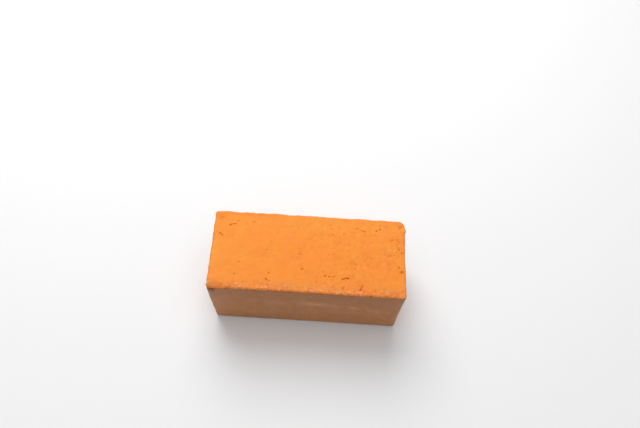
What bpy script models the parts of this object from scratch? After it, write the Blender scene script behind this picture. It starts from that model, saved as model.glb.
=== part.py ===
"""Pineapple cake: one uncut bar of short, sandy pastry, baked golden on every side.

The bar lies on its flat underside. X runs along its length, Y across it with the
front at -Y, and Z is up. The origin is the centre of the underside.
Sizes are in millimetres and become metres where the meshes are made.
"""

import math
import random

import bmesh
import bpy
from mathutils import Matrix, Vector, noise

MM = 0.001

# Driving sizes of the bar.
LENGTH = 70.0
WIDTH = 31.0
HEIGHT = 29.0
RIM_RADIUS = 0.8
FOOT_RADIUS = 1.0
SHARP_CORNER = 1.2  # radius of three of the upright corners
WORN_CORNER = 2.3   # radius of the back right one

# How the baked bar departs from a true block.
DRAFT = 0.55        # each wall leans in this much from rim to foot
LEFT_SKEW = 0.3     # the left end's back corner stands out this much, its front one in
RIGHT_SKEW = 0.15   # the right end's back corner stands in this much, its front one out
LEFT_BOW = 0.2      # the left end bulges at mid height
RIGHT_BOW = 0.3     # the right end hollows at mid height

# Relief of the crust: (distance between bumps, height), and how far it reaches.
SWELL = (15.0, 0.25)
LUMPS = (5.0, 0.2)
WALL_SHARE = 0.5    # the walls, pressed against a mould, are smoother than the top
CRUMBLE = (3.4, 0.6)
CRUMBLE_REACH = 1.6
FIRM_SHARE = 0.5    # how much the back and right rims crumble, against the others
FIRM_REACH = 6.0    # over which the crumbling falls off past their corners
STILL_FOOT = 2.5    # the relief fades out over this height above the underside

# Worn places at the rim: (x, y, reach along, reach across, how far it sags, how far it swells).
WORN = (
    (-31.0, -15.5, 3.4, 1.5, 0.9, 0.0),
    (-34.5, 15.3, 2.2, 1.5, 0.35, 0.0),
    (34.7, 11.4, 1.2, 1.2, 0.0, 0.45),
)
WORN_DEPTH = 2.0    # how far down the wall they reach

# Spacing of the mesh rows, closer at the edges so that the roundings show.
EDGE_ROWS = (0.0, 0.33, 0.8, 1.5, 2.3)
FOOT_ROWS = (0.0, 0.41, 1.0)
RIM_ROWS = (0.0, 0.33, 0.8)
ROW_PITCH = 1.75
LAYER_PITCH = 2.1

# Cracks in the top: the points that each runs through, its width and its depth.
CRACKS = {
    "back_left": ([(-29.9, 9.0), (-28.5, 9.7), (-26.7, 10.1)], 0.8, 1.1),
    "left": ([(-33.4, 6.3), (-32.1, 5.5), (-31.0, 4.5)], 0.7, 0.9),
    "back_dash": ([(-21.4, 11.2), (-19.9, 11.4)], 0.6, 0.7),
    "back_right": ([(16.4, 11.3), (18.4, 10.4), (20.9, 9.6)], 0.6, 0.6),
    "front_wave": ([(12.2, -10.0), (13.9, -9.0), (15.3, -9.2)], 0.7, 1.0),
    "front_right": ([(19.1, -12.9), (19.6, -11.8), (19.8, -11.2)], 0.8, 1.1),
    "front_left": ([(-15.8, -10.8), (-15.0, -10.9), (-13.4, -11.9)], 0.6, 0.8),
    "front_trace": ([(8.9, -9.0), (9.8, -8.7), (10.9, -8.6)], 0.5, 0.4),
}

# Pits in the top: (x, y, radius, depth).
PITS = (
    (-23.2, 10.1, 0.7, 0.6),
    (-16.3, -2.5, 0.5, 0.3),
    (-14.8, -0.2, 0.6, 0.4),
    (-24.2, -5.5, 0.7, 0.3),
    (-25.3, -10.1, 0.6, 0.5),
    (-22.0, -12.9, 0.5, 0.5),
    (-13.3, -9.0, 0.7, 0.5),
    (-2.9, -0.8, 0.5, 0.5),
    (-1.7, -6.8, 0.6, 0.8),
    (3.6, -11.3, 0.6, 0.5),
    (6.5, -8.8, 0.5, 0.6),
    (8.0, -9.0, 0.5, 0.5),
    (24.5, 10.4, 0.5, 0.6),
    (25.7, 11.0, 0.6, 0.6),
    (32.6, -3.9, 0.5, 0.5),
    (33.5, -5.5, 0.8, 0.9),
    (33.7, 2.1, 0.7, 0.5),
)

# Chips lost from the rim: (x, y, how far below the top, radius along the rim, radius).
CHIPS = (
    (-33.0, -16.0, 2.3, 2.0, 1.2),
    (-25.5, -15.6, 0.1, 1.0, 0.7),
    (-8.8, -15.7, 0.2, 1.2, 0.7),
    (22.5, -15.7, 0.1, 1.0, 0.8),
    (31.0, -15.6, 0.2, 1.4, 0.8),
    (-11.0, 15.8, 0.2, 1.1, 0.8),
    (3.5, 15.9, 0.1, 1.3, 1.0),
    (9.5, 15.8, 0.2, 0.9, 0.8),
)

# Crumbs missing from the strip of the top along its edges.
CRUMB_PITS = 30
CRUMB_STRIP = (1.0, 4.0)    # least and greatest distance in from the wall
CRUMB_RADIUS = (0.3, 0.6)
CRUMB_DEPTH = 0.4
RAGGED = 0.35               # how uneven a pit or crack is, as a share of its size

CRUST_COLOUR = (0.64, 0.22, 0.045, 1.0)
CRUST_ROUGHNESS = 0.8


def clear_scene():
    """Start from an empty scene."""
    for thing in list(bpy.data.objects):
        bpy.data.objects.remove(thing, do_unlink=True)


def stations(size, near, far, pitch):
    """Row positions from 0 to size: close rows at both ends, even ones between."""
    span = size - near[-1] - far[-1]
    steps = round(span / pitch)
    middle = [near[-1] + span * i / steps for i in range(1, steps)]
    return list(near) + middle + [size - offset for offset in reversed(far)]


def gridded_cube(counts):
    """A unit cube whose faces are cut into this many cells along X, Y and Z."""
    bm = bmesh.new()
    bmesh.ops.create_cube(bm, size=1.0)
    for axis, count in enumerate(counts):
        along = [e for e in bm.edges if abs(e.verts[0].co[axis] - e.verts[1].co[axis]) > 0.5]
        bmesh.ops.subdivide_edges(bm, edges=along, cuts=count - 1, use_grid_fill=True)
    return bm


def corner_radius(side_x, side_y):
    """Radius of the upright corner on these sides."""
    return WORN_CORNER if side_x > 0 and side_y > 0 else SHARP_CORNER


def rounded_plan(x, y):
    """Round the block's plan: the new x and y, the way out, and the inset from the wall."""
    side_x, side_y = math.copysign(1.0, x), math.copysign(1.0, y)
    inset_x, inset_y = LENGTH / 2 - abs(x), WIDTH / 2 - abs(y)
    inset = min(inset_x, inset_y)
    radius = corner_radius(side_x, side_y)
    a, b = radius - inset_x, radius - inset_y
    if a <= 0 or b <= 0:
        out = Vector((side_x, 0, 0)) if inset_x < inset_y else Vector((0, side_y, 0))
        return x, y, out, inset
    reach = math.hypot(a, b)
    out = Vector((side_x * a / reach, side_y * b / reach, 0))
    shrink = max(a, b) / reach
    x = side_x * (LENGTH / 2 - radius + a * shrink)
    y = side_y * (WIDTH / 2 - radius + b * shrink)
    return x, y, out, inset


def eased(inset, drop, radius):
    """Bring a point this far from two meeting faces onto an arc between them."""
    if inset >= radius or drop >= radius:
        return inset, drop
    reach = math.hypot(radius - inset, radius - drop)
    scale = radius / reach
    return radius - (radius - inset) * scale, radius - (radius - drop) * scale


def rounded_block(x, y, z):
    """Place a point of the plain block on the block with all its edges rounded."""
    x, y, out, inset = rounded_plan(x, y)
    if z > HEIGHT / 2:
        new_inset, drop = eased(inset, HEIGHT - z, RIM_RADIUS)
        z = HEIGHT - drop
    else:
        new_inset, z = eased(inset, z, FOOT_RADIUS)
    return Vector((x, y, z)) - out * (new_inset - inset)


def baked_set(point):
    """Lean the walls, skew the two ends and bow them, as the bar set in baking."""
    height = point.z / HEIGHT
    lean = DRAFT * (1 - height)
    across = point.y / (WIDTH / 2)
    belly = math.sin(math.pi * height)
    x = point.x * (1 - lean / (LENGTH / 2))
    y = point.y * (1 - lean / (WIDTH / 2))
    share = min(1.0, abs(point.x) / (LENGTH / 2))
    if point.x < 0:
        x -= share * (LEFT_SKEW * across + LEFT_BOW * belly)
    else:
        x -= share * (RIGHT_SKEW * across + RIGHT_BOW * belly)
    return Vector((x, y, point.z))


def bumps(point, relief):
    """Smooth noise between about -1 and 1 times the height, at the given spacing."""
    spacing, height = relief
    return height * noise.noise(point / spacing)


def firmness(point):
    """The share of the crumbling: 1 along the front and left rims, less along the others."""
    inset = max(0.0, min(point.x + LENGTH / 2, point.y + WIDTH / 2))
    return FIRM_SHARE + (1 - FIRM_SHARE) * math.exp(-inset / FIRM_REACH)


def worn_shift(point, normal):
    """How far the worn places move a point: down where they sag, outwards where they swell."""
    shift = Vector()
    for x, y, along, across, sag, swell in WORN:
        away = ((point.x - x) / along) ** 2 + ((point.y - y) / across) ** 2
        away += ((HEIGHT - point.z) / WORN_DEPTH) ** 2
        shift += math.exp(-away) * (swell * normal - Vector((0, 0, sag)))
    return shift


def crust_relief(point, normal, rim_distance):
    """How far the crust stands out along its normal at this point."""
    share = WALL_SHARE + (1 - WALL_SHARE) * max(0.0, normal.z)
    rise = share * (bumps(point, SWELL) + bumps(point + Vector((50, 0, 0)), LUMPS))
    crumble = firmness(point) * abs(bumps(point + Vector((0, 50, 0)), CRUMBLE))
    rise -= crumble * math.exp(-rim_distance / CRUMBLE_REACH)
    return rise * min(1.0, point.z / STILL_FOOT)


def shape_bar(bm, rows):
    """Move a gridded cube's points onto the baked bar and raise its relief."""
    rim_distances = []
    for vert in bm.verts:
        x, y, z = (rows[i][round((vert.co[i] + 0.5) * (len(rows[i]) - 1))] for i in range(3))
        x, y = x - LENGTH / 2, y - WIDTH / 2
        inset = min(LENGTH / 2 - abs(x), WIDTH / 2 - abs(y))
        rim_distances.append(max(inset, HEIGHT - z))
        vert.co = baked_set(rounded_block(x, y, z))
    bm.normal_update()
    normals = [vert.normal.copy() for vert in bm.verts]
    for vert, normal, rim_distance in zip(bm.verts, normals, rim_distances):
        vert.co += normal * crust_relief(vert.co, normal, rim_distance)
        vert.co += worn_shift(vert.co, normal)


def flatten_underside(bm):
    """Make the flat underside a single face."""
    flat = [f for f in bm.faces if all(abs(v.co.z) < 0.001 for v in f.verts)]
    bmesh.ops.dissolve_faces(bm, faces=flat, use_verts=False)


def centre(bm):
    """Centre the bar's outline on the origin."""
    for axis in range(2):
        reach = [vert.co[axis] for vert in bm.verts]
        middle = (min(reach) + max(reach)) / 2
        for vert in bm.verts:
            vert.co[axis] -= middle


def make_object(name, bm, collection):
    """Turn a mesh in millimetres into an object in metres."""
    bmesh.ops.scale(bm, vec=Vector((MM, MM, MM)), verts=bm.verts)
    mesh = bpy.data.meshes.new(name)
    bm.to_mesh(mesh)
    bm.free()
    thing = bpy.data.objects.new(name, mesh)
    collection.objects.link(thing)
    return thing


def crust_material():
    """Golden brown, sandy crust."""
    material = bpy.data.materials.new("crust")
    material.use_nodes = True
    shader = material.node_tree.nodes["Principled BSDF"]
    shader.inputs["Base Color"].default_value = CRUST_COLOUR
    shader.inputs["Roughness"].default_value = CRUST_ROUGHNESS
    shader.inputs["Metallic"].default_value = 0.0
    material.diffuse_color = CRUST_COLOUR
    return material


def make_cake(collection):
    """The solid bar, before anything is cut from it."""
    rows = (
        stations(LENGTH, EDGE_ROWS, EDGE_ROWS, ROW_PITCH),
        stations(WIDTH, EDGE_ROWS, EDGE_ROWS, ROW_PITCH),
        stations(HEIGHT, FOOT_ROWS, RIM_ROWS, LAYER_PITCH),
    )
    bm = gridded_cube([len(row) - 1 for row in rows])
    shape_bar(bm, rows)
    flatten_underside(bm)
    centre(bm)
    cake = make_object("cake", bm, collection)
    cake.data.materials.append(crust_material())
    cake.data.shade_smooth()
    return cake


def gouge(name, at, half_sizes, turn, collection, detail=1):
    """A ragged egg-shaped cutter, turned about Z."""
    bm = bmesh.new()
    bmesh.ops.create_icosphere(bm, subdivisions=detail, radius=1.0)
    for vert in bm.verts:
        vert.co *= 1 + RAGGED * noise.noise(vert.co * 1.3 + at)
    place = Matrix.Translation(at) @ Matrix.Rotation(turn, 4, "Z")
    bm.transform(place @ Matrix.Diagonal((*half_sizes, 1.0)))
    cutter = make_object(name, bm, collection)
    cutter.hide_render = True
    cutter.display_type = "WIRE"


def crack_cutters(name, points, width, depth, collection):
    """One long gouge for each straight stretch of a crack, overlapping at the bends."""
    for i, (start, end) in enumerate(zip(points, points[1:])):
        run = Vector(end) - Vector(start)
        middle = (Vector(start) + Vector(end)) / 2
        half_sizes = (run.length / 2 + width / 2, width / 2, depth)
        turn = math.atan2(run.y, run.x)
        at = Vector((middle.x, middle.y, HEIGHT))
        gouge(f"crack_{name}_{i}", at, half_sizes, turn, collection, detail=2)


def crumb_cutters(collection):
    """Small pits scattered along the strip inside the rim, most of them at the front."""
    chance = random.Random(5)
    for i in range(CRUMB_PITS):
        x = chance.uniform(-LENGTH / 2 + 1.5, LENGTH / 2 - 1.5)
        inset = chance.uniform(*CRUMB_STRIP)
        side = -1 if chance.random() < 0.7 else 1
        radius = chance.uniform(*CRUMB_RADIUS)
        at = Vector((x, side * (WIDTH / 2 - inset), HEIGHT))
        half_sizes = (radius * 1.3, radius, CRUMB_DEPTH)
        gouge(f"crumb_{i}", at, half_sizes, chance.uniform(0, math.pi), collection)


def make_cutters(collection):
    """Everything that is cut from the bar's top and rim."""
    for name, (points, width, depth) in CRACKS.items():
        crack_cutters(name, points, width, depth, collection)
    for i, (x, y, radius, depth) in enumerate(PITS):
        gouge(f"pit_{i}", Vector((x, y, HEIGHT)), (radius, radius, depth), 0.0, collection)
    for i, (x, y, below, along, radius) in enumerate(CHIPS):
        gouge(f"chip_{i}", Vector((x, y, HEIGHT - below)), (along, radius, radius), 0.0, collection)
    crumb_cutters(collection)


def cut(cake, cutters):
    """Take the cutters' shapes out of the bar."""
    modifier = cake.modifiers.new("cracks_and_pits", "BOOLEAN")
    modifier.operation = "DIFFERENCE"
    modifier.operand_type = "COLLECTION"
    modifier.collection = cutters
    modifier.solver = "EXACT"


def new_collection(name):
    """A collection in the scene."""
    collection = bpy.data.collections.new(name)
    bpy.context.scene.collection.children.link(collection)
    return collection


def main():
    clear_scene()
    parts = new_collection("pineapple_cake")
    cutters = new_collection("cutters")
    cake = make_cake(parts)
    make_cutters(cutters)
    cut(cake, cutters)


main()
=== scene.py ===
import math

import bmesh
import bpy
import numpy as np
from mathutils import Matrix, Vector, noise


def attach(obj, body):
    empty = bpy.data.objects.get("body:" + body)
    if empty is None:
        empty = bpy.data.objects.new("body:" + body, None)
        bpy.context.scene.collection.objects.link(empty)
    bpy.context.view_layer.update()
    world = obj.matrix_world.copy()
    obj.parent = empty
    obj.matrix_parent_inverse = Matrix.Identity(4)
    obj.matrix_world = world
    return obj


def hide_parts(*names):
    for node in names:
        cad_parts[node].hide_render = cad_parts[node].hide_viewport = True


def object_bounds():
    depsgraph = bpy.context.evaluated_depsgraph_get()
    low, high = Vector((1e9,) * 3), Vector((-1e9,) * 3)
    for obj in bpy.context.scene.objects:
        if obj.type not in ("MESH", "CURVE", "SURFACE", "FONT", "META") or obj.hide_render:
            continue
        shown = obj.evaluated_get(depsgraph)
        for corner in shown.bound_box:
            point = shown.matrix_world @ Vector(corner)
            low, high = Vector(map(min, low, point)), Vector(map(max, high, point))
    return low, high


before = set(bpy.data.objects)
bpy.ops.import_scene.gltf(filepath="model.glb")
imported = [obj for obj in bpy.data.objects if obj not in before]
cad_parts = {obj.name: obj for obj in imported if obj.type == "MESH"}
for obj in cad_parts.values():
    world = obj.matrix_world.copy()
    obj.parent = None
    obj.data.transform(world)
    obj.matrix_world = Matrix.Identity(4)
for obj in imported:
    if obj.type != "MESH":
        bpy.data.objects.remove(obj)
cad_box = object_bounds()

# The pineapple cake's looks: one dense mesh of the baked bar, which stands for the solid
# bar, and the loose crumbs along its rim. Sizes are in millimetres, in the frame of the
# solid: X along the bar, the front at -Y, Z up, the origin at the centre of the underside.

MM = 0.001

# ---------------------------------------------------------------- the bar's sizes

LENGTH = 70.0
WIDTH = 31.0
HEIGHT = 29.0
RIM_RADIUS = 0.8
FOOT_RADIUS = 1.0
SHARP_CORNER = 1.2
WORN_CORNER = 2.3

# The walls' lean towards the foot, and how far the two ends are skewed and bowed.
DRAFT = 0.55
LEFT_SKEW = 0.3
RIGHT_SKEW = 0.15
LEFT_BOW = 0.2
RIGHT_BOW = 0.3

# Relief of the solid, as (distance between bumps, height), and its share on the walls.
SWELL = (15.0, 0.25)
LUMPS = (5.0, 0.2)
WALL_SHARE = 0.5
# How the rims have crumbled away, how far from the rim that reaches, and the lesser share
# of it at the back and the right, this far from the front and the left.
CRUMBLE = (3.4, 0.6)
CRUMBLE_REACH = 1.6
FIRM_SHARE = 0.5
FIRM_REACH = 6.0
# The height below which all relief fades out, so that the foot is even.
STILL_FOOT = 2.5

# Finer relief, which the solid leaves out: sandy grains all over, larger ones in the
# crumbly strip along the front rim and, less, along the other rims. Each size of grain is
# (distance between grains, height).
GRAINS = ((0.9, 0.03), (0.45, 0.025))
WALL_GRAIN_SHARE = 0.8
CRUMBLY_GRAINS = ((0.9, 0.06), (0.45, 0.05))
FRONT_STRIP = 2.6
RIM_STRIP = 0.7
RIM_STRIP_SHARE = 0.22

# Rows of the mesh, before the top, and then the front rim and the hollows, are divided finer.
EDGE_ROWS = (0.0, 0.27, 0.53, 0.8)
FOOT_ROWS = (0.0, 0.25, 0.5, 0.75, 1.0)
ROW_PITCH = 0.5
LAYER_PITCH = 0.45
TOP_BAND = 1.4
RIM_BAND = 1.0

# Cracks in the top: the depth, then the points that it runs through as (x, y, width).
CRACKS = (
    (0.9, ((-29.9, 9.0, 0.25), (-29.1, 9.4, 0.7), (-28.4, 9.7, 0.4), (-26.7, 10.1, 0.25))),
    (0.8, ((-33.6, 6.4, 0.2), (-32.8, 6.2, 0.3), (-32.1, 5.5, 0.6), (-31.0, 4.5, 0.25))),
    (0.5, ((-23.8, 10.3, 0.25), (-23.2, 10.1, 0.6), (-22.5, 9.9, 0.4))),
    (0.6, ((-21.4, 11.2, 0.3), (-20.7, 11.3, 0.45), (-19.9, 11.4, 0.3))),
    (0.75, ((16.4, 11.3, 0.2), (17.2, 11.0, 0.45), (18.4, 10.5, 0.3), (19.5, 10.0, 0.4),
            (20.6, 9.7, 0.8))),
    (0.9, ((12.1, -10.1, 0.4), (13.0, -9.5, 0.95), (13.9, -9.0, 0.6), (14.6, -9.2, 0.6),
           (15.4, -9.2, 0.3))),
    (1.0, ((19.0, -13.5, 0.5), (19.2, -13.0, 1.2), (19.5, -12.3, 0.75), (19.9, -11.3, 0.4))),
    (0.7, ((-15.6, -10.8, 0.2), (-14.7, -10.95, 0.4), (-13.9, -11.4, 0.5), (-12.6, -12.1, 0.25))),
    (0.5, ((8.9, -9.0, 0.3), (9.8, -8.7, 0.45), (10.9, -8.6, 0.3))),
    (0.3, ((5.8, -11.6, 0.2), (6.6, -11.6, 0.35), (7.5, -11.6, 0.2))),
    (0.6, ((-22.0, -12.6, 0.35), (-22.0, -13.3, 0.5))),
    (0.3, ((-1.4, -6.8, 0.3), (0.5, -7.0, 0.15))),
    (0.5, ((33.2, 2.1, 0.3), (33.9, 2.1, 0.55), (34.4, 2.2, 0.3))),
)
CRACK_STEP = 0.1            # between the points of a crack's route
CRACK_STRAY = (0.6, 0.25)   # the route's wavering: distance between bends, reach
CRACK_WAVER = 0.4           # share by which the width varies
CRACK_EDGE = (0.3, 0.12)    # the ragged edge: distance between notches, reach
CRACK_TAPER = 0.5           # length over which the ends narrow
CRACK_TIP = 0.3             # share of the width that is left at the very ends
CRACK_BREAK = (0.8, 0.75, 1.6, 0.35)   # depth: distance between changes, mean, swing, least
CRACK_SHARE = 0.7           # a crack's open width, against its stained outline
CRACK_ZONE = (2.0, 1.5)     # how far a crack can reach past its route, and below the top
SHALLOW_HALF = 0.15         # narrower than this to a side, a crack is less deep
LIP_RISE = 0.05
LIP_WIDTH = 0.25
# A crack or a pit this deep gets the full painted shade.
CRACK_SHADE_DEPTH = 0.35
PIT_SHADE_DEPTH = 0.5
# How much wider than the pits and chips themselves the finely divided places are.
PIT_MARGIN = 1.4
CHIP_MARGIN = 1.6

# Pits in the top: (x, y, radius, depth).
PITS = (
    (-32.8, 12.0, 0.35, 0.3), (-32.1, 12.4, 0.3, 0.25), (-26.5, 11.1, 0.35, 0.3),
    (-19.5, 9.6, 0.4, 0.15), (-6.8, 10.1, 0.35, 0.15), (-14.8, -0.2, 0.45, 0.25),
    (-16.3, -2.5, 0.35, 0.2), (-24.2, -5.5, 0.5, 0.2), (-2.9, -0.8, 0.35, 0.4),
    (-1.7, -6.8, 0.48, 0.4), (-13.3, -9.0, 0.45, 0.4), (-25.3, -10.1, 0.48, 0.4),
    (-18.0, -13.7, 0.35, 0.3), (7.6, 11.6, 0.35, 0.2), (8.7, 7.5, 0.4, 0.2),
    (12.7, 8.3, 0.45, 0.25), (9.1, 2.1, 0.35, 0.15), (9.4, -0.3, 0.35, 0.15),
    (20.5, 8.8, 0.35, 0.2), (22.4, 11.2, 0.3, 0.15), (24.5, 10.4, 0.32, 0.35),
    (25.7, 11.0, 0.42, 0.35), (29.6, 7.0, 0.22, 0.25), (30.2, 7.0, 0.22, 0.25),
    (30.8, 7.1, 0.22, 0.25), (31.9, 7.2, 0.3, 0.3), (32.7, 6.5, 0.25, 0.25),
    (32.7, 3.3, 0.3, 0.3), (31.1, 1.1, 0.35, 0.3), (29.4, 0.5, 0.3, 0.25),
    (32.7, -3.9, 0.42, 0.6), (33.7, -5.4, 0.85, 0.75), (34.2, -6.3, 0.3, 0.4),
    (23.5, -5.5, 0.3, 0.25), (17.0, -5.6, 0.4, 0.2), (12.6, -4.9, 0.35, 0.15),
    (30.8, -8.8, 0.4, 0.2), (6.5, -8.8, 0.42, 0.55), (8.0, -9.0, 0.36, 0.5),
    (3.6, -11.3, 0.42, 0.35), (13.0, -13.0, 0.55, 0.55), (9.6, -12.8, 0.35, 0.3),
    (19.7, -13.8, 0.3, 0.3), (24.1, -13.2, 0.3, 0.35), (24.7, -13.9, 0.2, 0.25),
)

# Chips lost from the rim: (x, y, how far below the top, radius along the rim, radius).
CHIPS = (
    (-33.0, -16.0, 2.3, 2.0, 1.2),
    (-25.5, -15.6, 0.1, 0.7, 0.5),
    (-8.8, -15.7, 0.2, 0.7, 0.6),
    (22.5, -15.7, 0.1, 0.7, 0.5),
    (31.0, -15.7, 0.2, 1.0, 0.5),
    (-11.0, 15.8, 0.2, 0.8, 0.6),
    (-1.5, 15.8, 0.1, 0.5, 0.5),
    (3.5, 15.9, 0.1, 1.0, 0.8),
    (9.5, 15.8, 0.2, 0.9, 0.6),
    (35.4, -10.4, 0.3, 0.4, 0.5),
)
# How ragged the hollows' outlines are: share of the radius, and distance between notches.
RAGGED = 0.3
NOTCHES = 0.4

# Worn places at the rim: (x, y, reach along, reach across, how far it sags, how far it swells).
WORN = (
    (-31.0, -15.5, 3.4, 1.5, 0.9, 0.0),
    (-34.5, 15.3, 2.2, 1.5, 0.35, 0.0),
    (34.7, 11.4, 1.2, 1.2, 0.0, 0.45),
)
WORN_DEPTH = 2.0   # how far down the wall they reach

# The darker line under the rim, painted shade of the rim's rounding: how far below the top, and its
# half width.
RIM_SHADE_LINE = (0.9, 0.55)

# Pores at random places: how many, their least and greatest radius, and their depth.
TOP_PORES = (140, 0.12, 0.26, 0.12)
STRIP_PORES = (70, 0.15, 0.32, 0.2)
WALL_PORES = (260, 0.12, 0.32, 0.15)

# Tones of the top, two of them painted highlights: (x, y, radius along, radius across, how much
# browner; less than 0 is paler and yellower).
STAINS_AND_HIGHLIGHTS = (
    (-32.5, 12.3, 2.2, 1.6, 0.5),
    (33.2, 12.8, 0.8, 0.8, 1.6),
    # painted highlight on the knob at the back-right corner
    (34.3, 11.6, 0.7, 0.7, -2.0),
    (-33.4, -3.0, 1.4, 8.0, -0.5),
    (-33.0, -14.7, 1.6, 1.0, 0.8),
    (13.2, 14.2, 1.3, 0.9, 0.5),
    (32.0, -14.0, 2.2, 0.7, 0.5),
    (33.2, -15.2, 1.2, 0.6, 0.6),
    # painted highlight along the front rim's rounding at the right
    (31.0, -15.5, 2.4, 0.35, -1.0),
    (-28.0, 0.0, 6.0, 16.0, -0.2),
    (0.0, 12.0, 36.0, 4.0, -0.4),
    (22.0, -12.0, 14.0, 4.0, 0.12),
    (24.0, -14.4, 8.0, 1.2, 0.25),
    (-1.0, -13.8, 9.0, 1.8, -0.45),
    (-21.0, 14.3, 14.0, 1.3, 0.4),
)

# How far round the corners the front wall's painted shade, its duller and greyer tone, reaches.
FRONT_SHADE_REACH = 5.0

# Marks on the front wall, the paler ones painted sheen of light off the smooth wall, the darker
# ones smears and painted shade: (x, height, half its length, half its width, slope, how pale;
# less than 0 is darker).
SMEARS_SHEEN_AND_SHADE = (
    (3.2, 18.6, 5.0, 2.1, -0.10, 0.9),
    (11.0, 17.6, 2.5, 1.6, 0.0, 0.35),
    (17.3, 17.3, 2.8, 0.9, -0.45, 0.7),
    (22.9, 15.8, 2.6, 0.9, -3.0, 0.5),
    (26.2, 14.3, 3.6, 0.9, -2.4, 0.42),
    (-10.0, 18.3, 3.6, 1.8, 0.1, 0.4),
    (-22.0, 14.0, 5.0, 0.6, 4.0, 0.25),
    (4.6, 15.5, 2.0, 0.6, 0.2, -0.7),
    (16.0, 10.0, 4.0, 1.2, 0.3, -0.3),
    (-6.0, 12.0, 5.0, 1.5, -0.1, -0.3),
    # painted shade under the chipped front-left rim
    (-32.6, 26.4, 2.0, 0.8, 0.0, -1.0),
    (31.5, 23.5, 5.0, 4.5, 0.0, -0.35),
    (-29.0, 24.0, 4.0, 3.0, 0.0, -0.2),
)

# Pores too small for the mesh: how far apart their cells are, and their reach in a cell.
PORE_PITCH = 2.0
PORE_REACH = 0.14

# Loose crumbs: how many, their least and greatest radius, how dented they are, how far
# they stand out of the crust and how far inside the solid's box they stay, in radii.
CRUMBS = 380
CRUMB_SIZE = (0.05, 0.17)
CRUMB_DENT = 0.3
CRUMB_RISE = 0.3
CRUMB_MARGIN = 1.5

SEED = 11

# ---------------------------------------------------------------- the photograph's view

PHOTO_WIDTH = 640
FOCAL_PIXELS = 600.0
CAMERA_AT = (3.3556, -97.9523, 220.6489)
CAMERA_PITCH = 59.1918   # degrees below the horizontal
CAMERA_ROLL = 3.573      # degrees
SENSOR_WIDTH = 36.0

# ---------------------------------------------------------------- noise and paths


def noise_at(points, spacing, shift=(0.0, 0.0, 0.0)):
    """Smooth noise between about -1 and 1 at each point; each shift gives another noise."""
    return np.array([noise.noise(Vector(p)) for p in (points + np.array(shift)) / spacing])


def grains_at(points, sizes, shift):
    """Rounded grains with sharp valleys between them, centred on 0."""
    total = np.zeros(len(points))
    for spacing, height in sizes:
        total += height * (2.5 * abs(noise_at(points, spacing, shift)) - 0.5)
    return total


def crack_route(path):
    """The x, y and half width of a crack, every short step along its wavering way."""
    corners = np.array(path)
    runs = np.linalg.norm(np.diff(corners[:, :2], axis=0), axis=1)
    reached = np.concatenate([[0.0], np.cumsum(runs)])
    along = np.arange(0.0, reached[-1] + CRACK_STEP, CRACK_STEP)
    x, y, width = (np.interp(along, reached, corners[:, i]) for i in range(3))
    flat = np.stack([x, y, np.zeros(len(x))], axis=1)
    spacing, stray = CRACK_STRAY
    x = x + stray * noise_at(flat, spacing, (7, 0, 0))
    y = y + stray * noise_at(flat, spacing, (0, 7, 0))
    half = CRACK_SHARE * width / 2 * (1 + CRACK_WAVER * noise_at(flat, spacing / 2, (0, 0, 7)))
    to_end = np.minimum(along, reached[-1] - along).clip(0.0)
    return x, y, half * np.minimum(1.0, CRACK_TIP + to_end / CRACK_TAPER)


def nearest_on_route(points, route):
    """Each point's distance from the crack's middle, and the crack's half width there."""
    x, y, half = route
    gaps = np.hypot(points[:, :1] - x, points[:, 1:2] - y)
    nearest = gaps.argmin(axis=1)
    return gaps[np.arange(len(points)), nearest], half[nearest]


# ---------------------------------------------------------------- the mesh


def stations(size, near, far, pitch):
    """Row positions from 0 to size: close rows at both ends, even ones between."""
    span = size - near[-1] - far[-1]
    steps = round(span / pitch)
    middle = [near[-1] + span * i / steps for i in range(1, steps)]
    return np.array(list(near) + middle + [size - offset for offset in reversed(far)])


def gridded_block():
    """The bar as a plain block divided into rows, its flat underside a single face."""
    rows = (
        stations(LENGTH, EDGE_ROWS, EDGE_ROWS, ROW_PITCH) - LENGTH / 2,
        stations(WIDTH, EDGE_ROWS, EDGE_ROWS, ROW_PITCH) - WIDTH / 2,
        stations(HEIGHT, FOOT_ROWS, EDGE_ROWS, LAYER_PITCH),
    )
    bm = bmesh.new()
    bmesh.ops.create_cube(bm, size=1.0)
    for axis, row in enumerate(rows):
        along = [e for e in bm.edges if abs(e.verts[0].co[axis] - e.verts[1].co[axis]) > 0.5]
        bmesh.ops.subdivide_edges(bm, edges=along, cuts=len(row) - 2, use_grid_fill=True)
    for vert in bm.verts:
        steps = [round((vert.co[i] + 0.5) * (len(rows[i]) - 1)) for i in range(3)]
        vert.co = [rows[i][steps[i]] for i in range(3)]
    under = [f for f in bm.faces if all(on_flat_underside(v.co) for v in f.verts)]
    bmesh.ops.delete(bm, geom=under, context="FACES")
    bmesh.ops.contextual_create(bm, geom=[e for e in bm.edges if e.is_boundary])
    bmesh.ops.recalc_face_normals(bm, faces=bm.faces)
    return bm


def on_flat_underside(point):
    """True for a point of the plain block that lies inside the foot's rounding."""
    inset = min(LENGTH / 2 - abs(point.x), WIDTH / 2 - abs(point.y))
    return point.z < 0.001 and inset > FOOT_RADIUS - 0.001


def divide(bm, chosen):
    """Divide the chosen faces in four."""
    edges = {edge for face, pick in zip(bm.faces, chosen) if pick for edge in face.edges}
    bmesh.ops.subdivide_edges(bm, edges=list(edges), cuts=1, use_grid_fill=True)


def middles(bm):
    """The middle of each face of the plain block, as rows of x, y and z."""
    return np.array([face.calc_center_median() for face in bm.faces])


def rim_distance_of(points):
    """How far points of the plain block lie from the top's edge, along the surface."""
    inset = np.minimum(LENGTH / 2 - abs(points[:, 0]), WIDTH / 2 - abs(points[:, 1]))
    return np.maximum(inset, HEIGHT - points[:, 2])


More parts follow.
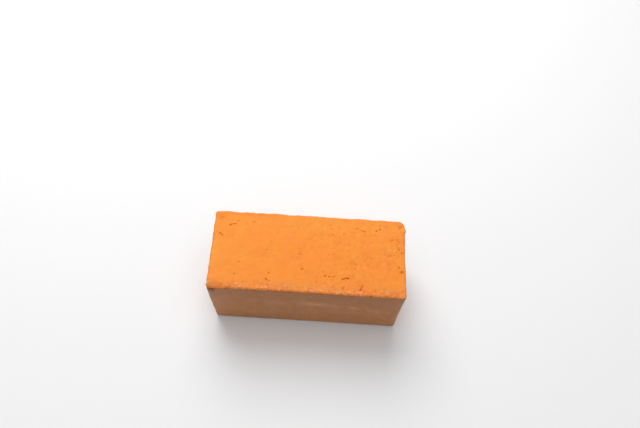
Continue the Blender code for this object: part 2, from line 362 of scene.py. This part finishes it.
def near_hollows(points):
    """True where the top is close to a crack, a pit or a chip."""
    near = np.zeros(len(points), dtype=bool)
    for _, path in CRACKS:
        distance, half = nearest_on_route(points, crack_route(path))
        near |= distance < half + LIP_WIDTH
    for x, y, radius, _ in PITS:
        near |= np.hypot(points[:, 0] - x, points[:, 1] - y) < radius * PIT_MARGIN
    near &= points[:, 2] > HEIGHT - 0.001
    for x, y, below, along, radius in CHIPS:
        reach = np.array((along * PIT_MARGIN, radius * CHIP_MARGIN, radius * CHIP_MARGIN))
        near |= (abs(points - np.array((x, y, HEIGHT - below))) < reach).all(axis=1)
    return near


def plain_mesh():
    """The plain block, finer on top and finest along the front rim and at the hollows."""
    bm = gridded_block()
    divide(bm, middles(bm)[:, 2] > HEIGHT - TOP_BAND)
    centres = middles(bm)
    front_rim = (rim_distance_of(centres) < RIM_BAND) & (centres[:, 1] < RIM_BAND - WIDTH / 2)
    divide(bm, front_rim | near_hollows(centres))
    mesh = bpy.data.meshes.new("baked_bar")
    bm.to_mesh(mesh)
    bm.free()
    return mesh


def read_points(mesh):
    """The mesh's points as rows of x, y and z."""
    points = np.empty(len(mesh.vertices) * 3)
    mesh.vertices.foreach_get("co", points)
    return points.reshape(-1, 3)


def write_points(mesh, points):
    """Move the mesh's points."""
    mesh.vertices.foreach_set("co", points.ravel())
    mesh.update()


def read_normals(mesh):
    """The unit normal at each of the mesh's points."""
    normals = np.empty(len(mesh.vertices) * 3)
    mesh.vertex_normals.foreach_get("vector", normals)
    return normals.reshape(-1, 3)


# ---------------------------------------------------------------- the baked form


def rounded_block(points):
    """Round the block's upright corners, rim and foot."""
    x, y, z = points.T
    side_x, side_y = np.where(x < 0, -1.0, 1.0), np.where(y < 0, -1.0, 1.0)
    inset_x, inset_y = LENGTH / 2 - abs(x), WIDTH / 2 - abs(y)
    inset = np.minimum(inset_x, inset_y)
    radius = np.where((side_x > 0) & (side_y > 0), WORN_CORNER, SHARP_CORNER)
    a, b = radius - inset_x, radius - inset_y
    corner = (a > 0) & (b > 0)
    reach = np.where(corner, np.hypot(a, b), 1.0)
    along_x = inset_x < inset_y
    out_x = np.where(corner, side_x * a / reach, np.where(along_x, side_x, 0.0))
    out_y = np.where(corner, side_y * b / reach, np.where(along_x, 0.0, side_y))
    shrink = np.maximum(a, b) / reach
    x = np.where(corner, side_x * (LENGTH / 2 - radius + a * shrink), x)
    y = np.where(corner, side_y * (WIDTH / 2 - radius + b * shrink), y)
    upper = z > HEIGHT / 2
    edge_radius = np.where(upper, RIM_RADIUS, FOOT_RADIUS)
    new_inset, drop = eased(inset, np.where(upper, HEIGHT - z, z), edge_radius)
    z = np.where(upper, HEIGHT - drop, drop)
    moved = new_inset - inset
    return np.stack([x - out_x * moved, y - out_y * moved, z], axis=1)


def eased(inset, drop, radius):
    """Bring points this far from two meeting faces onto an arc between them."""
    near = (inset < radius) & (drop < radius)
    reach = np.where(near, np.hypot(radius - inset, radius - drop), 1.0)
    scale = radius / reach
    new_inset = np.where(near, radius - (radius - inset) * scale, inset)
    new_drop = np.where(near, radius - (radius - drop) * scale, drop)
    return new_inset, new_drop


def baked_set(points):
    """Lean the walls, skew the two ends and bow them, as the bar set in baking."""
    x, y, z = points.T
    height = z / HEIGHT
    lean = DRAFT * (1 - height)
    across = y / (WIDTH / 2)
    belly = np.sin(np.pi * height)
    share = np.minimum(1.0, abs(x) / (LENGTH / 2))
    left = LEFT_SKEW * across + LEFT_BOW * belly
    right = RIGHT_SKEW * across + RIGHT_BOW * belly
    new_x = x * (1 - lean / (LENGTH / 2)) - share * np.where(x < 0, left, right)
    new_y = y * (1 - lean / (WIDTH / 2))
    return np.stack([new_x, new_y, z], axis=1)


def crust_relief(points, normals, rim_distance):
    """How far the crust stands out along its normal: the same relief as the solid's."""
    share = WALL_SHARE + (1 - WALL_SHARE) * np.maximum(0.0, normals[:, 2])
    rise = SWELL[1] * noise_at(points, SWELL[0])
    rise += LUMPS[1] * noise_at(points, LUMPS[0], (50, 0, 0))
    inset = np.minimum(points[:, 0] + LENGTH / 2, points[:, 1] + WIDTH / 2).clip(0.0)
    firm = FIRM_SHARE + (1 - FIRM_SHARE) * np.exp(-inset / FIRM_REACH)
    crumble = firm * CRUMBLE[1] * abs(noise_at(points, CRUMBLE[0], (0, 50, 0)))
    rise = share * rise - crumble * np.exp(-rim_distance / CRUMBLE_REACH)
    return rise * np.minimum(1.0, points[:, 2] / STILL_FOOT)


def crumbliness(points, normals, rim_distance):
    """From 0, a smooth crust, to 1, where it has crumbled: the front strip and the rims."""
    from_front = np.maximum(0.0, points[:, 1] + WIDTH / 2)
    patchy = np.clip(0.75 + 0.9 * noise_at(points, 4.0, (0, 90, 0)), 0.0, 1.0)
    front = np.exp(-(from_front / FRONT_STRIP) ** 2) * np.clip(normals[:, 2] / 0.4, 0.0, 1.0)
    rims = RIM_STRIP_SHARE * np.exp(-rim_distance / RIM_STRIP)
    return np.maximum(front, rims) * patchy


def wear(points, normals):
    """Let the rim sag or swell at its worn places."""
    for x, y, along, across, sag, swell in WORN:
        away = ((points[:, 0] - x) / along) ** 2 + ((points[:, 1] - y) / across) ** 2
        away += ((HEIGHT - points[:, 2]) / WORN_DEPTH) ** 2
        near = np.exp(-away)
        points[:, 2] -= sag * near
        points += normals * (swell * near)[:, None]


# ---------------------------------------------------------------- cracks, pits and chips


def cut_cracks(points, hollow):
    """Cut the cracks into the top, and raise their lips a little."""
    reach, below = CRACK_ZONE
    spacing, mean, swing, least = CRACK_BREAK
    for depth, path in CRACKS:
        route = crack_route(path)
        near = np.where((points[:, 2] > HEIGHT - below)
                        & (abs(points[:, 0] - route[0].mean()) < np.ptp(route[0]) / 2 + reach)
                        & (abs(points[:, 1] - route[1].mean()) < np.ptp(route[1]) / 2 + reach))[0]
        distance, half = nearest_on_route(points[near], route)
        distance = distance + CRACK_EDGE[1] * noise_at(points[near], CRACK_EDGE[0])
        inside = np.clip(1 - (distance / half) ** 2, 0.0, 1.0) ** 0.7
        broken = np.clip(mean + swing * noise_at(points[near], spacing, (0, 0, 70)), least, 1.0)
        sunk = depth * inside * broken * np.minimum(1.0, half / SHALLOW_HALF)
        lip = LIP_RISE * np.exp(-((distance - half) / LIP_WIDTH - 0.5) ** 2 * 4)
        points[near, 2] += np.where(inside > 0, -sunk, lip)
        hollow[near] = np.maximum(hollow[near], np.minimum(1.0, sunk / CRACK_SHADE_DEPTH))


def gouge(points, normals, hollow, at, half_sizes, turn=0.0):
    """Press the points inside a ragged egg inwards, onto the egg's far side."""
    at = np.array(at)
    near = np.where((abs(points - at) < max(half_sizes) * 1.5).all(axis=1))[0]
    if len(near) == 0:
        return
    c, s = math.cos(turn), math.sin(turn)
    to_local = np.array([[c, s, 0], [-s, c, 0], [0, 0, 1]]) / np.array(half_sizes)[:, None]
    local = (points[near] - at) @ to_local.T
    inward = -normals[near] @ to_local.T
    span = np.linalg.norm(local, axis=1) + 1e-9
    reach = 1 + RAGGED * noise_at(local / span[:, None], 1 / 1.3, at * 1.3)
    reach += RAGGED * noise_at(points[near], NOTCHES)
    inside = span < reach
    near, local, inward, reach = near[inside], local[inside], inward[inside], reach[inside]
    a = (inward ** 2).sum(axis=1)
    b = (local * inward).sum(axis=1)
    gap = (local ** 2).sum(axis=1) - reach ** 2
    depth = (-b + np.sqrt(np.maximum(0.0, b * b - a * gap))) / a
    points[near] -= normals[near] * depth[:, None]
    hollow[near] = np.maximum(hollow[near], np.minimum(1.0, depth / PIT_SHADE_DEPTH))


def scatter_pores(points, normals, hollow, chance, where, pores):
    """Small pits at random points of a part of the surface."""
    count, least, greatest, depth = pores
    for i in chance.choice(np.where(where)[0], count, replace=False):
        radius = chance.uniform(least, greatest)
        long = radius * chance.uniform(1.0, 1.8)
        if normals[i][2] > 0.5:
            sizes, turn = (long, radius, depth), chance.uniform(0, math.pi)
        elif abs(normals[i][1]) > 0.5:
            sizes, turn = (long, depth, radius), 0.0
        else:
            sizes, turn = (depth, long, radius), 0.0
        gouge(points, normals, hollow, points[i].copy(), sizes, turn)


def cut_hollows(points, normals, rim_distance):
    """Cut all cracks, pits, chips and pores, and return how hollow each point is."""
    hollow = np.zeros(len(points))
    chance = np.random.default_rng(SEED)
    for x, y, below, along, radius in CHIPS:
        sizes = (along, radius, radius) if abs(y) > WIDTH / 2 - 1 else (radius, along, radius)
        gouge(points, normals, hollow, (x, y, HEIGHT - below), sizes)
    cut_cracks(points, hollow)
    for x, y, radius, depth in PITS:
        gouge(points, normals, hollow, (x, y, HEIGHT), (radius, radius, depth))
    top = (normals[:, 2] > 0.9) & (rim_distance > 1.0)
    front = top & (points[:, 1] < FRONT_STRIP - WIDTH / 2)
    wall = (abs(normals[:, 2]) < 0.3) & (points[:, 2] > STILL_FOOT)
    scatter_pores(points, normals, hollow, chance, top, TOP_PORES)
    scatter_pores(points, normals, hollow, chance, front, STRIP_PORES)
    scatter_pores(points, normals, hollow, chance, wall, WALL_PORES)
    return hollow


# ---------------------------------------------------------------- the two pieces


def store(mesh, name, values):
    """Keep a number for each point, which the material reads."""
    attribute = mesh.attributes.new(name, "FLOAT", "POINT")
    attribute.data.foreach_set("value", values.astype(np.float32))


def stored(mesh, name):
    """The numbers kept under a name."""
    values = np.empty(len(mesh.vertices), dtype=np.float32)
    mesh.attributes[name].data.foreach_get("value", values)
    return values


def stain_and_highlight_at(points):
    """How much browner, or paler if less than 0, the top's patches and painted highlights make each
    point.
    """
    total = np.zeros(len(points))
    for x, y, along, across, strength in STAINS_AND_HIGHLIGHTS:
        away = ((points[:, 0] - x) / along) ** 2 + ((points[:, 1] - y) / across) ** 2
        total += strength * np.exp(-away)
    return total * np.clip(0.8 + 0.8 * noise_at(points, 1.2, (0, 0, 30)), 0.0, 1.3)


def painted_front_shade(points):
    """The share of painted shade: 1 on the shaded front wall, fading patchily to 0 round the corners
    to the other walls.
    """
    patchy = 1 + 0.5 * noise_at(points, 4.0, (60, 0, 0))
    return np.exp(-((points[:, 1] + WIDTH / 2) / FRONT_SHADE_REACH * patchy) ** 2)


def sandiness(points):
    """How flecked the crust is: least at the top's left and on the front wall."""
    x, y, z = points.T
    share = np.clip(0.5 + 0.5 * (x + 5.0) / 20.0, 0.4, 1.1)
    share = np.maximum(share, np.exp(-((y + WIDTH / 2) / 5.0) ** 2))
    share = np.where(z > HEIGHT - 1.0, share, 1.2 - 0.6 * painted_front_shade(points))
    return share * np.clip(0.9 + 1.2 * noise_at(points, 6.0, (30, 0, 0)), 0.2, 1.4)


def smear_sheen_shade_at(points, normals):
    """How much paler, or darker if less than 0, the front wall's painted sheen, smears and painted
    shade make each point.
    """
    total = np.zeros(len(points))
    for x, z, along, across, slope, strength in SMEARS_SHEEN_AND_SHADE:
        dx, dz = points[:, 0] - x, points[:, 2] - z
        length = math.hypot(1.0, slope)
        u, v = (dx + slope * dz) / length, (dz - slope * dx) / length
        total += strength * np.exp(-(u / along) ** 2 - (v / across) ** 2)
    return total * np.clip(-normals[:, 1], 0.0, 1.0)


def baked_bar():
    """The whole crust: the solid's form with its cracks, pits, pores and sandy grain."""
    mesh = plain_mesh()
    points = read_points(mesh)
    rim_distance = rim_distance_of(points)
    block_height = points[:, 2].copy()
    points = baked_set(rounded_block(points))
    write_points(mesh, points)
    normals = read_normals(mesh)
    points += normals * crust_relief(points, normals, rim_distance)[:, None]
    wear(points, normals)
    points[:, :2] -= (points[:, :2].min(axis=0) + points[:, :2].max(axis=0)) / 2
    hollow = cut_hollows(points, normals, rim_distance)
    crumbly = crumbliness(points, normals, rim_distance)
    grain_share = WALL_GRAIN_SHARE + (1 - WALL_GRAIN_SHARE) * np.maximum(0.0, normals[:, 2])
    grain = grain_share * grains_at(points, GRAINS, (0, 0, 50))
    grain += crumbly * grains_at(points, CRUMBLY_GRAINS, (50, 50, 0))
    grain *= np.minimum(1.0, points[:, 2] / STILL_FOOT)
    points += normals * grain[:, None]
    keep_in_box(points)
    write_points(mesh, points * MM)
    store(mesh, "hollow", hollow)
    store(mesh, "crumbly", crumbly)
    store(mesh, "grain", np.clip(0.5 + grain / 0.12, 0, 1))
    store(mesh, "rim_shade", np.exp(-((HEIGHT - RIM_SHADE_LINE[0] - block_height) / RIM_SHADE_LINE[1]) ** 2))
    store(mesh, "wall", 1 - np.clip((normals[:, 2] - 0.05) / 0.35, 0, 1))
    store(mesh, "underside", np.clip(-(normals[:, 2] + 0.7) / 0.25, 0, 1))
    store(mesh, "stain_and_highlight", stain_and_highlight_at(points))
    store(mesh, "smear_sheen_shade", smear_sheen_shade_at(points, normals))
    store(mesh, "sandy", sandiness(points))
    store(mesh, "front_shade", painted_front_shade(points))
    mesh.shade_smooth()
    bar = bpy.data.objects.new("baked_bar", mesh)
    bpy.context.scene.collection.objects.link(bar)
    return bar


def keep_in_box(points):
    """Hold the finest relief inside the solid's own box."""
    low, high = (np.array(corner) / MM for corner in cad_box)
    np.clip(points, low, high, out=points)


def rim_crumbs(bar):
    """Loose grains of crust that cling to the crumbly strip and to the rims."""
    chance = np.random.default_rng(SEED + 1)
    points = read_points(bar.data)
    normals = read_normals(bar.data)
    at_rim = np.exp(-(points[:, 1] / MM + WIDTH / 2) / RIM_RADIUS)
    weight = stored(bar.data, "crumbly") ** 1.5 * (1 + 2 * at_rim) * (normals[:, 2] > 0.2)
    weight += 0.002 * (normals[:, 2] > 0.7)
    chosen = chance.choice(len(points), CRUMBS, replace=False, p=weight / weight.sum())
    low, high = (np.array(corner) for corner in cad_box)
    bm = bmesh.new()
    for i in chosen:
        size = chance.uniform(*CRUMB_SIZE) * MM
        at = points[i] + normals[i] * size * CRUMB_RISE
        at = np.clip(at, low + size * CRUMB_MARGIN, high - size * CRUMB_MARGIN)
        stretch = Matrix.Diagonal((*(size * chance.uniform(0.7, 1.3, 3)), 1.0))
        turn = Matrix.Rotation(chance.uniform(0, math.tau), 4, Vector(chance.normal(size=3)))
        place = Matrix.Translation(Vector(at)) @ turn @ stretch
        made = bmesh.ops.create_icosphere(bm, subdivisions=2, radius=1.0, matrix=place)
        for vert in made["verts"]:
            dent = 1 + CRUMB_DENT * noise.noise(vert.co / (size * 1.2))
            vert.co = Vector(at) + (vert.co - Vector(at)) * dent
    mesh = bpy.data.meshes.new("rim_crumbs")
    bm.to_mesh(mesh)
    bm.free()
    mesh.shade_smooth()
    crumbs = bpy.data.objects.new("rim_crumbs", mesh)
    bpy.context.scene.collection.objects.link(crumbs)
    return crumbs


# ---------------------------------------------------------------- materials


class Nodes:
    """Short calls for building a material's nodes."""

    def __init__(self, name):
        self.material = bpy.data.materials.new(name)
        self.material.use_nodes = True
        self.tree = self.material.node_tree
        self.shader = self.tree.nodes["Principled BSDF"]

    def feed(self, socket, value):
        """Link a socket to another node's output, or set its number or colour."""
        if isinstance(value, bpy.types.NodeSocket):
            self.tree.links.new(value, socket)
        elif isinstance(value, tuple) and len(value) == 3 and socket.type == "RGBA":
            socket.default_value = (*value, 1.0)
        else:
            socket.default_value = value

    def attribute(self, name):
        """A number kept for each point of the mesh."""
        node = self.tree.nodes.new("ShaderNodeAttribute")
        node.attribute_name = name
        return node.outputs["Fac"]

    def place(self):
        """Where a point lies in the object, in metres."""
        return self.tree.nodes.new("ShaderNodeTexCoord").outputs["Object"]

    def height(self):
        """How high a point lies above the underside, in metres."""
        node = self.tree.nodes.new("ShaderNodeSeparateXYZ")
        self.feed(node.inputs[0], self.place())
        return node.outputs["Z"]

    def noise(self, spacing, detail=2.0, rough=0.5, shift=0.0):
        """Noise whose blotches are about this many millimetres across."""
        node = self.tree.nodes.new("ShaderNodeTexNoise")
        where = self.tree.nodes.new("ShaderNodeVectorMath")
        self.feed(where.inputs[0], self.place())
        where.inputs[1].default_value = (shift * MM,) * 3
        for name, value in (("Vector", where.outputs[0]), ("Scale", 1 / (spacing * MM)),
                            ("Detail", detail), ("Roughness", rough)):
            self.feed(node.inputs[name], value)
        return node.outputs["Fac"]

    def ramp(self, value, low, high, start, end):
        """From start to end as the value goes from low to high."""
        node = self.tree.nodes.new("ShaderNodeMapRange")
        for name, number in (("Value", value), ("From Min", low), ("From Max", high),
                             ("To Min", start), ("To Max", end)):
            self.feed(node.inputs[name], number)
        return node.outputs["Result"]

    def math(self, operation, first, second):
        """One sum, difference, product or the like of two values."""
        node = self.tree.nodes.new("ShaderNodeMath")
        node.operation = operation
        self.feed(node.inputs[0], first)
        self.feed(node.inputs[1], second)
        return node.outputs[0]

    def mix(self, factor, first, second, blend="MIX"):
        """The first colour with this much of the second blended in."""
        node = self.tree.nodes.new("ShaderNodeMix")
        node.data_type = "RGBA"
        node.blend_type = blend
        for index, value in ((0, factor), (6, first), (7, second)):
            self.feed(node.inputs[index], value)
        return node.outputs[2]

    def bump(self, height, depth, normal=None):
        """Relief of this depth in millimetres."""
        node = self.tree.nodes.new("ShaderNodeBump")
        self.feed(node.inputs["Height"], height)
        self.feed(node.inputs["Distance"], depth * MM)
        if normal is not None:
            self.feed(node.inputs["Normal"], normal)
        return node.outputs["Normal"]


# Colours, as linear red, green and blue. The two shades, painted shade in the hollows and in the
# pores, multiply the colour under them.
TOP_GOLD = (0.725, 0.226, 0.021)
TOP_AMBER = (0.735, 0.207, 0.023)
PALE_FLECK = (0.80, 0.33, 0.070)
BROWN_FLECK = (0.57, 0.150, 0.007)
WALL_GOLD = (0.58, 0.225, 0.050)
WALL_AMBER = (0.54, 0.188, 0.034)
# The front wall in painted shade: duller, greyer copies of the walls' tones.
SHADED_WALL_TAN = (0.475, 0.198, 0.068)
SHADED_WALL_BROWN = (0.445, 0.174, 0.054)
STRIP_BROWN = (0.58, 0.165, 0.045)
PALE_CRUMB = (0.82, 0.37, 0.125)
# Brown of the walls' specks, and of the painted shade line under the rim.
SPECK_AND_RIM_SHADE_BROWN = (0.44, 0.125, 0.028)
# Darker smears on the front wall, and its painted shade under the chipped rim.
DARK_SMEAR_AND_SHADE = (0.37, 0.125, 0.060)
FOOT_BROWN = (0.42, 0.135, 0.030)
UNDERSIDE = (0.58, 0.185, 0.030)
# Painted sheen on the front wall.
PAINTED_SHEEN = (0.60, 0.28, 0.125)
STAIN_BROWN = (0.55, 0.125, 0.014)
# Paler, yellower patches, and the painted highlights.
YELLOW_AND_HIGHLIGHT = (0.74, 0.29, 0.035)
HOLLOW_SHADE = (1.0, 0.96, 0.48)
PORE_SHADE = (0.70, 0.58, 0.42)


def flecked(n, colour, sandy):
    """Brown and pale flecks of many sizes, as many as the crust is sandy, and hairlines."""
    brown = n.math("MULTIPLY", sandy, n.ramp(n.noise(2.2, 6.0, 0.75), 0.52, 0.66, 0.0, 0.52))
    colour = n.mix(brown, colour, BROWN_FLECK)
    pale = n.math("MULTIPLY", sandy, n.ramp(n.noise(1.8, 6.0, 0.75, 40.0), 0.53, 0.67, 0.0, 0.42))
    colour = n.mix(pale, colour, PALE_FLECK)
    from_line = n.math("ABSOLUTE", n.math("SUBTRACT", n.noise(2.6, 3.0, 0.6, 80.0), 0.5), 0.0)
    some = n.ramp(n.noise(1.7, 1.0, 0.5, 20.0), 0.56, 0.64, 0.0, 0.8)
    share = n.math("MULTIPLY", some, sandy)
    hairline = n.math("MULTIPLY", n.ramp(from_line, 0.016, 0.004, 0.0, 1.0), share)
    return n.mix(hairline, colour, STAIN_BROWN)


def toned(n, colour, tone, darker, paler):
    """Mix in one colour where the tone is above 0, and another where it is below."""
    colour = n.mix(n.ramp(tone, 0.0, 1.0, 0.0, 1.0), colour, darker)
    return n.mix(n.ramp(tone, 0.0, -1.0, 0.0, 1.0), colour, paler)


def top_colour(n, sandy):
    """Golden and mottled, with the flecks and the browner and yellower patches, two of them painted
    highlights.
    """
    colour = n.mix(n.ramp(n.noise(5.0, 3.0), 0.35, 0.65, 0.0, 1.0), TOP_GOLD, TOP_AMBER)
    return toned(n, flecked(n, colour, sandy), n.attribute("stain_and_highlight"), STAIN_BROWN, YELLOW_AND_HIGHLIGHT)


def wall_colour(n, sandy):
    """Clouded and gritty, darker towards the rim, duller and greyer in painted shade on the front
    wall, with darker smears and paler painted sheen.
    """
    clouds = n.ramp(n.noise(5.0, 4.0), 0.38, 0.62, 0.0, 1.0)
    colour = n.mix(clouds, WALL_AMBER, WALL_GOLD)
    # Painted shade: the front wall takes the duller, greyer shaded tones.
    colour = n.mix(n.attribute("front_shade"), colour, n.mix(clouds, SHADED_WALL_BROWN, SHADED_WALL_TAN))
    specks = n.math("MULTIPLY", sandy, n.ramp(n.noise(1.0, 5.0, 0.75), 0.52, 0.68, 0.0, 0.6))
    colour = n.mix(specks, colour, SPECK_AND_RIM_SHADE_BROWN)
    grit = n.ramp(n.noise(0.45, 3.0, 0.7, 60.0), 0.35, 0.65, 0.91, 1.07)
    shade = n.math("MULTIPLY", grit, n.ramp(n.height(), 12.0 * MM, 28.0 * MM, 1.01, 0.84))
    colour = n.mix(1.0, colour, shade, "MULTIPLY")
    # Paler painted sheen, darker smears and painted shade under the chipped rim.
    broken = n.math("MULTIPLY", n.attribute("smear_sheen_shade"), n.ramp(n.noise(1.6), 0.3, 0.7, 0.6, 1.2))
    return toned(n, colour, broken, PAINTED_SHEEN, DARK_SMEAR_AND_SHADE)


def pores(n):
    """1 inside small round pores that lie at random, 0 elsewhere."""
    node = n.tree.nodes.new("ShaderNodeTexVoronoi")
    n.feed(node.inputs["Vector"], n.place())
    n.feed(node.inputs["Scale"], 1 / (PORE_PITCH * MM))
    tint = n.tree.nodes.new("ShaderNodeSeparateColor")
    n.feed(tint.inputs[0], node.outputs["Color"])
    size = n.ramp(tint.outputs[0], 0.45, 1.0, 0.0, PORE_REACH)
    return n.ramp(n.math("SUBTRACT", size, node.outputs["Distance"]), 0.0, 0.06, 0.0, 1.0)


def crust_material():
    """Golden top, browner and smoother walls, the front one in painted shade, hollows and pores
    darkened with painted shade, pale grains in crumbly parts.
    """
    n = Nodes("crust")
    wall, sandy, pore = n.attribute("wall"), n.attribute("sandy"), pores(n)
    colour = n.mix(wall, top_colour(n, sandy), wall_colour(n, sandy))
    # Painted shade: a broken darker line just under the rim's rounding.
    broken = n.ramp(n.noise(1.5, 3.0), 0.3, 0.6, 0.1, 0.6)
    line = n.math("MULTIPLY", n.attribute("rim_shade"), broken)
    colour = n.mix(line, colour, SPECK_AND_RIM_SHADE_BROWN)
    colour = n.mix(n.ramp(n.height(), 0.2 * MM, 1.5 * MM, 0.8, 0.0), colour, FOOT_BROWN)
    colour = n.mix(n.attribute("underside"), colour, flecked(n, UNDERSIDE, sandy))
    crumbly, grain = n.attribute("crumbly"), n.attribute("grain")
    colour = n.mix(n.math("MULTIPLY", crumbly, 0.85), colour, STRIP_BROWN)
    pale = n.math("MULTIPLY", crumbly, n.ramp(grain, 0.55, 0.9, 0.0, 0.7))
    colour = n.mix(pale, colour, PALE_CRUMB)
    dark = n.math("MULTIPLY", crumbly, n.ramp(grain, 0.45, 0.1, 0.0, 0.7))
    colour = n.mix(dark, colour, STAIN_BROWN)
    # Painted shade: cracks, pits, chips and cut pores darker as they are deeper, and the pores too
    # small for the mesh darker inside.
    colour = n.mix(n.attribute("hollow"), colour, HOLLOW_SHADE, "MULTIPLY")
    colour = n.mix(n.math("MULTIPLY", pore, sandy), colour, PORE_SHADE, "MULTIPLY")
    n.feed(n.shader.inputs["Base Color"], colour)
    uneven = n.ramp(n.noise(2.0, 3.0), 0.3, 0.7, -0.07, 0.07)
    rough = n.math("ADD", n.ramp(wall, 0.0, 1.0, 0.8, 0.5), uneven)
    n.feed(n.shader.inputs["Roughness"], rough)
    fine = n.bump(n.noise(0.3, 4.0, 0.7), 0.038)
    pitted = n.bump(pore, -0.05, n.bump(n.noise(0.8, 2.0), 0.033, fine))
    n.feed(n.shader.inputs["Normal"], pitted)
    n.shader.inputs["Specular IOR Level"].default_value = 0.35
    return n.material


def crumb_material():
    """Paler, sandy grains."""
    n = Nodes("crumbs")
    tone = n.ramp(n.noise(0.9, 1.0), 0.35, 0.65, 0.0, 1.0)
    n.feed(n.shader.inputs["Base Color"], n.mix(tone, TOP_GOLD, PALE_FLECK))
    n.feed(n.shader.inputs["Roughness"], n.ramp(n.noise(0.3), 0.3, 0.7, 0.8, 0.95))
    n.feed(n.shader.inputs["Normal"], n.bump(n.noise(0.1), 0.02))
    n.shader.inputs["Specular IOR Level"].default_value = 0.2
    return n.material


def floor_material():
    """Plain, pale and matt."""
    n = Nodes("floor")
    n.shader.inputs["Base Color"].default_value = (*FLOOR_TONE, 1.0)
    n.shader.inputs["Roughness"].default_value = 0.9
    n.shader.inputs["Specular IOR Level"].default_value = 0.2
    return n.material


# ---------------------------------------------------------------- floor, light and camera

# The floor is a disc, in metres, whose edge sweeps up all round so that no horizon shows.
FLOOR_RADIUS = 0.8
SWEEP_RADIUS = 0.5
SWEEP_WALL = 0.3
FLOOR_LEVEL = -0.00005
FLOOR_TONE = (0.72, 0.72, 0.725)
# Soft round lamps, as (name, place, diameter, power): the key behind and to the left,
# and a wide one above and slightly in front.
LAMPS = (
    ("key", (-0.10, 0.34, 0.46), 0.5, 3.25),
    ("above", (0.05, -0.15, 1.2), 1.5, 7.65),
)
SKY = (0.22, 0.22, 0.22)


def make_floor():
    """Spin the floor's outline, from the middle out and up, about the upright axis."""
    quarter = [math.radians(degrees) for degrees in range(0, 91, 10)]
    outline = [(0.0, 0.0)]
    outline += [(FLOOR_RADIUS + SWEEP_RADIUS * math.sin(a), SWEEP_RADIUS * (1 - math.cos(a)))
                for a in quarter]
    outline.append((FLOOR_RADIUS + SWEEP_RADIUS, SWEEP_RADIUS + SWEEP_WALL))
    bm = bmesh.new()
    points = [bm.verts.new((reach, 0.0, FLOOR_LEVEL + rise)) for reach, rise in outline]
    edges = [bm.edges.new(pair) for pair in zip(points, points[1:])]
    bmesh.ops.spin(bm, geom=points + edges, cent=(0, 0, 0), axis=(0, 0, 1), angle=math.tau, steps=96)
    bmesh.ops.remove_doubles(bm, verts=bm.verts, dist=0.0001)
    bmesh.ops.recalc_face_normals(bm, faces=bm.faces)
    mesh = bpy.data.meshes.new("floor")
    bm.to_mesh(mesh)
    bm.free()
    mesh.shade_smooth()
    mesh.materials.append(floor_material())
    floor = bpy.data.objects.new("floor", mesh)
    bpy.context.scene.collection.objects.link(floor)


def make_light():
    """The soft lamps, all aimed at the bar, and an even sky."""
    for name, at, size, power in LAMPS:
        lamp = bpy.data.lights.new(name, "AREA")
        lamp.shape = "DISK"
        lamp.size = size
        lamp.energy = power
        softbox = bpy.data.objects.new(name, lamp)
        softbox.location = at
        softbox.rotation_euler = (-Vector(at)).to_track_quat("-Z", "Y").to_euler()
        bpy.context.scene.collection.objects.link(softbox)
    world = bpy.context.scene.world or bpy.data.worlds.new("sky")
    bpy.context.scene.world = world
    world.use_nodes = True
    background = world.node_tree.nodes["Background"]
    background.inputs["Color"].default_value = (*SKY, 1.0)
    background.inputs["Strength"].default_value = 1.0


def make_camera():
    """The photograph's camera, found from the bar's edges in the picture."""
    lens = bpy.data.cameras.new("camera")
    lens.sensor_width = SENSOR_WIDTH
    lens.lens = SENSOR_WIDTH * FOCAL_PIXELS / PHOTO_WIDTH
    lens.clip_start = 0.005
    camera = bpy.data.objects.new("camera", lens)
    tilt = Matrix.Rotation(math.radians(90 - CAMERA_PITCH), 4, "X")
    roll = Matrix.Rotation(math.radians(CAMERA_ROLL), 4, "Z")
    camera.matrix_world = Matrix.Translation(Vector(CAMERA_AT) * MM) @ tilt @ roll
    bpy.context.scene.collection.objects.link(camera)
    bpy.context.scene.camera = camera


def main():
    """Dress the bar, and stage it."""
    bpy.context.scene.view_settings.view_transform = "Standard"
    bar = baked_bar()
    bar.data.materials.append(crust_material())
    crumbs = rim_crumbs(bar)
    crumbs.data.materials.append(crumb_material())
    for piece in (bar, crumbs):
        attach(piece, "root")
    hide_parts("cake")
    make_floor()
    make_light()
    make_camera()


main()
